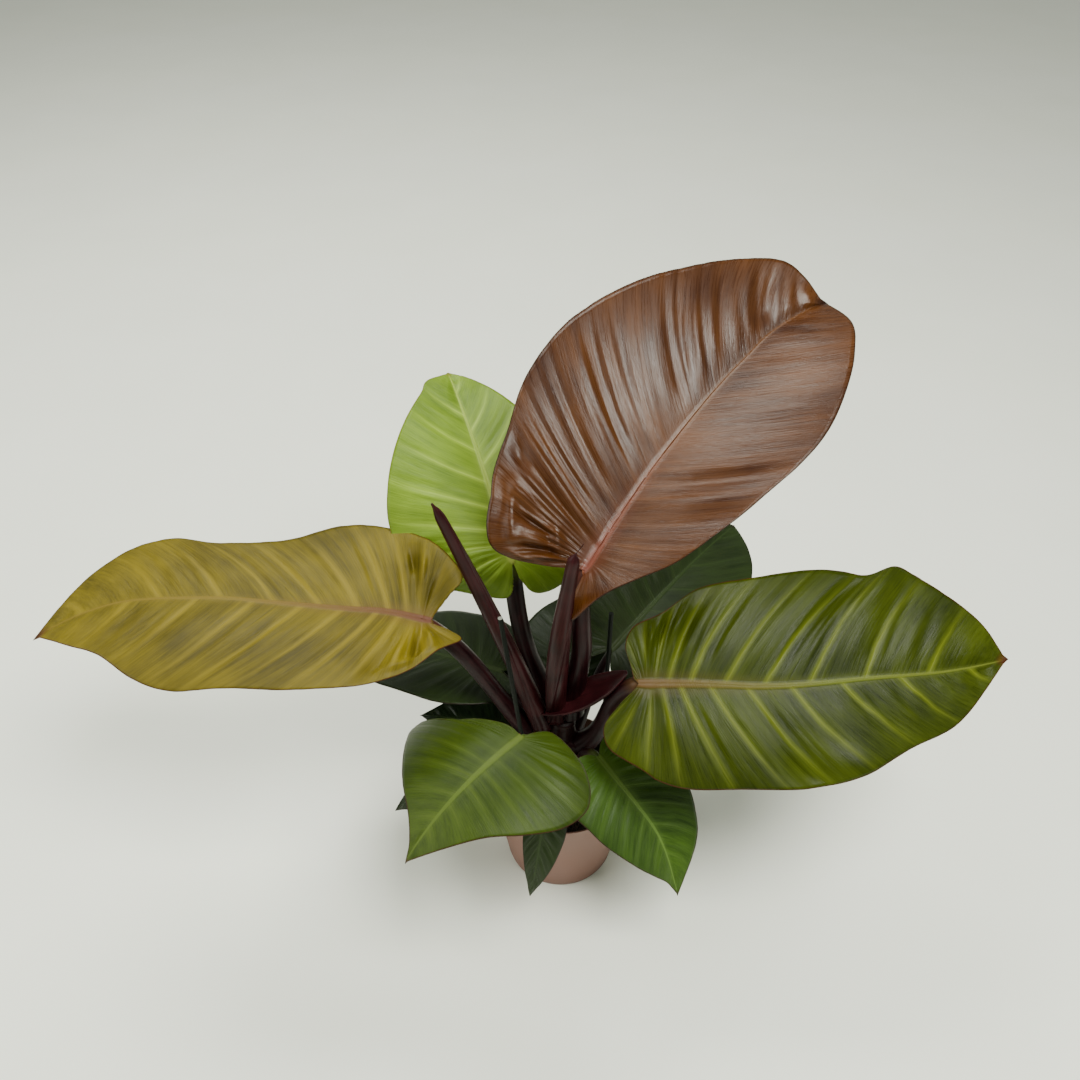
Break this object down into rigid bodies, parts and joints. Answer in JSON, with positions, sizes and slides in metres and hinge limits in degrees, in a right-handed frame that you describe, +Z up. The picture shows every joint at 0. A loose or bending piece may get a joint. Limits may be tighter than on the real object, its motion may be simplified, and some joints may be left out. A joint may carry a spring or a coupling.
{
  "type": "potted philodendron",
  "caption": "Broad-leaved potted foliage plant in a round nursery pot, with long-stalked oval leaves around a short stem; stands on its pot base.",
  "frame": {"origin": "centre of the pot's underside, on the surface it stands on", "axes": "+Z up along the pot's axis; +X along the plant's widest spread, from the gold leaf towards the broad green leaf; the front of the plant faces -Y"},
  "size_m": [0.7171, 0.3719, 0.4788],
  "materials": {
    "leaf_back_blade": "dark green, satin",
    "leaf_back_right_blade": "dark green, satin",
    "leaf_back_right_stalk": "dark maroon leaf stalk, glossy",
    "leaf_back_stalk": "dark maroon leaf stalk, glossy",
    "leaf_broad_blade": "green with yellow veins, glossy",
    "leaf_broad_stalk": "dark maroon leaf stalk, glossy",
    "leaf_copper_blade": "glossy copper red",
    "leaf_copper_stalk": "dark maroon leaf stalk, glossy",
    "leaf_front_left_blade": "mid green, satin",
    "leaf_front_left_stalk": "dark maroon leaf stalk, glossy",
    "leaf_front_right_blade": "mid green, satin",
    "leaf_front_right_stalk": "dark maroon leaf stalk, glossy",
    "leaf_gold_blade": "olive gold, satin",
    "leaf_gold_stalk": "dark maroon leaf stalk, glossy",
    "leaf_lime_blade": "lime green, satin",
    "leaf_lime_stalk": "dark maroon leaf stalk, glossy",
    "leaf_low_left_blade": "dark green, satin",
    "leaf_low_left_stalk": "dark maroon leaf stalk, glossy",
    "leaf_lower_left_blade": "dark green, satin",
    "leaf_lower_left_stalk": "dark maroon leaf stalk, glossy",
    "leaf_small_blade": "dark green, satin",
    "leaf_small_stalk": "dark maroon leaf stalk, glossy",
    "leaf_under_gold_blade": "dark green, satin",
    "leaf_under_gold_stalk": "dark maroon leaf stalk, glossy",
    "pot": "matte terracotta-coloured nursery pot",
    "sheath_lower": "dark maroon, satin",
    "sheath_upper": "dark maroon, satin",
    "soil": "dark crumbly peat mix, rough",
    "spear_centre": "dark maroon, satin",
    "spear_tall": "dark maroon, satin",
    "stake_left": "green-dyed split cane, dull",
    "stake_right": "green-dyed split cane, dull",
    "stem": "dark maroon stem, satin"
  },
  "bodies": {
    "root": {"leaf_back_blade": "leaf_back_blade", "leaf_back_right_blade": "leaf_back_right_blade", "leaf_back_right_stalk": "leaf_back_right_stalk", "leaf_back_stalk": "leaf_back_stalk", "leaf_broad_blade": "leaf_broad_blade", "leaf_broad_stalk": "leaf_broad_stalk", "leaf_copper_blade": "leaf_copper_blade", "leaf_copper_stalk": "leaf_copper_stalk", "leaf_front_left_blade": "leaf_front_left_blade", "leaf_front_left_stalk": "leaf_front_left_stalk", "leaf_front_right_blade": "leaf_front_right_blade", "leaf_front_right_stalk": "leaf_front_right_stalk", "leaf_gold_blade": "leaf_gold_blade", "leaf_gold_stalk": "leaf_gold_stalk", "leaf_lime_blade": "leaf_lime_blade", "leaf_lime_stalk": "leaf_lime_stalk", "leaf_low_left_blade": "leaf_low_left_blade", "leaf_low_left_stalk": "leaf_low_left_stalk", "leaf_lower_left_blade": "leaf_lower_left_blade", "leaf_lower_left_stalk": "leaf_lower_left_stalk", "leaf_small_blade": "leaf_small_blade", "leaf_small_stalk": "leaf_small_stalk", "leaf_under_gold_blade": "leaf_under_gold_blade", "leaf_under_gold_stalk": "leaf_under_gold_stalk", "pot": "pot", "sheath_lower": "sheath_lower", "sheath_upper": "sheath_upper", "soil": "soil", "spear_centre": "spear_centre", "spear_tall": "spear_tall", "stake_left": "stake_left", "stake_right": "stake_right", "stem": "stem"}
  },
  "joints": []
}
